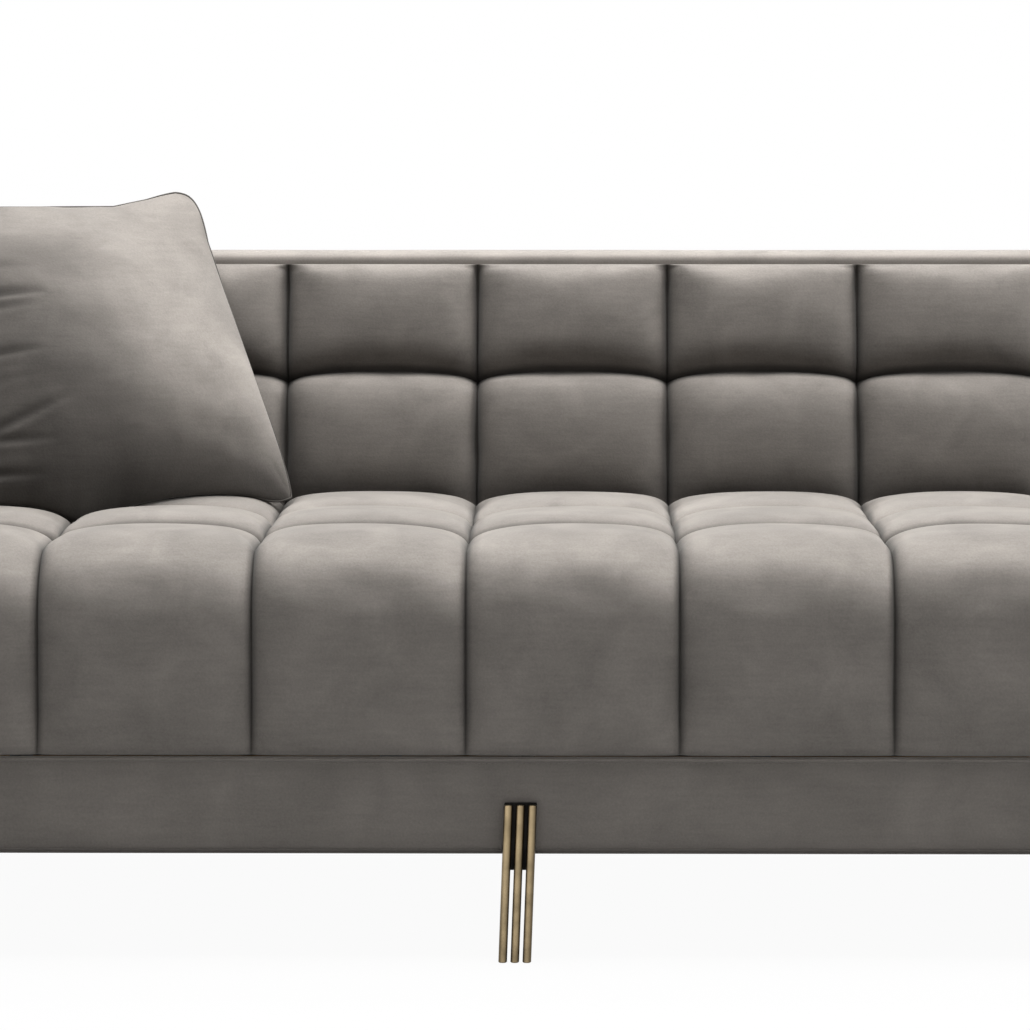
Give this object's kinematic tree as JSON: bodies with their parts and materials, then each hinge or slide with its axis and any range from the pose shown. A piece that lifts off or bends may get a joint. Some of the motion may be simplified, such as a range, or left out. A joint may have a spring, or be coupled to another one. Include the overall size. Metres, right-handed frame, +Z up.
{
  "type": "recamier",
  "caption": "Low velvet recamier with one arm, biscuit tufted seat and back, covered plinth, slim brass rod legs and a loose cushion.",
  "frame": {"origin": "on the floor, under the middle of the whole object's box", "axes": "+X along the seat, away from the arm; +Y towards the rear, so the seat faces -Y; +Z up"},
  "size_m": [1.652, 0.814, 0.7881],
  "materials": {
    "velvet_tufted": "taupe grey velvet, biscuit tufted",
    "velvet_panel": "taupe grey velvet, stretched over a panel",
    "velvet_piping": "taupe grey velvet, self piping",
    "velvet_cushion": "taupe grey velvet, loose cushion cover",
    "antique_brass": "antique brass, brushed along the rod",
    "black_steel": "black powder coat",
    "hardwood": "unfinished sawn hardwood",
    "spring_steel": "bright drawn wire",
    "foam": "open cell upholstery foam",
    "hessian": "black woven lining cloth"
  },
  "bodies": {
    "recamier": {"front_left_leg_rod_1": "antique_brass", "front_left_leg_rod_2": "antique_brass", "front_left_leg_rod_3": "antique_brass", "front_left_leg_bracket": "black_steel", "front_middle_leg_rod_1": "antique_brass", "front_middle_leg_rod_2": "antique_brass", "front_middle_leg_rod_3": "antique_brass", "front_middle_leg_bracket": "black_steel", "front_right_leg_rod_1": "antique_brass", "front_right_leg_rod_2": "antique_brass", "front_right_leg_rod_3": "antique_brass", "front_right_leg_bracket": "black_steel", "rear_left_leg_rod_1": "antique_brass", "rear_left_leg_rod_2": "antique_brass", "rear_left_leg_rod_3": "antique_brass", "rear_left_leg_bracket": "black_steel", "rear_middle_leg_rod_1": "antique_brass", "rear_middle_leg_rod_2": "antique_brass", "rear_middle_leg_rod_3": "antique_brass", "rear_middle_leg_bracket": "black_steel", "rear_right_leg_rod_1": "antique_brass", "rear_right_leg_rod_2": "antique_brass", "rear_right_leg_rod_3": "antique_brass", "rear_right_leg_bracket": "black_steel", "base_front_rail": "hardwood", "base_rear_rail": "hardwood", "base_left_rail": "hardwood", "base_right_rail": "hardwood", "base_cross_rail": "hardwood", "back_top_rail": "hardwood", "back_left_upright": "hardwood", "back_middle_upright": "hardwood", "back_right_upright": "hardwood", "arm_front_post": "hardwood", "arm_top_rail": "hardwood", "plinth_front_cover": "velvet_panel", "plinth_rear_cover": "velvet_panel", "plinth_left_cover": "velvet_panel", "plinth_right_cover": "velvet_panel", "back_shell": "velvet_panel", "back_end_panel": "velvet_panel", "arm_outer_panel": "velvet_panel", "arm_front_panel": "velvet_panel", "arm_top_cap": "velvet_panel", "seat_tufted_cover": "velvet_tufted", "back_tufted_pad": "velvet_tufted", "arm_tufted_pad": "velvet_tufted", "plinth_top_piping": "velvet_piping", "plinth_bottom_piping": "velvet_piping", "seat_spring_1": "spring_steel", "seat_spring_2": "spring_steel", "seat_spring_3": "spring_steel", "seat_spring_4": "spring_steel", "seat_foam_core": "foam", "seat_deck_cloth": "hessian", "dust_cover": "hessian", "back_webbing_panel": "hessian", "arm_webbing_panel": "hessian"},
    "cushion": {"scatter_cushion": "velvet_cushion"}
  },
  "joints": [
    {"name": "cushion_lift", "type": "slide", "parent": "recamier", "child": "cushion", "axis": [0, 0, 1], "range_m": [0, 0.3]}
  ]
}
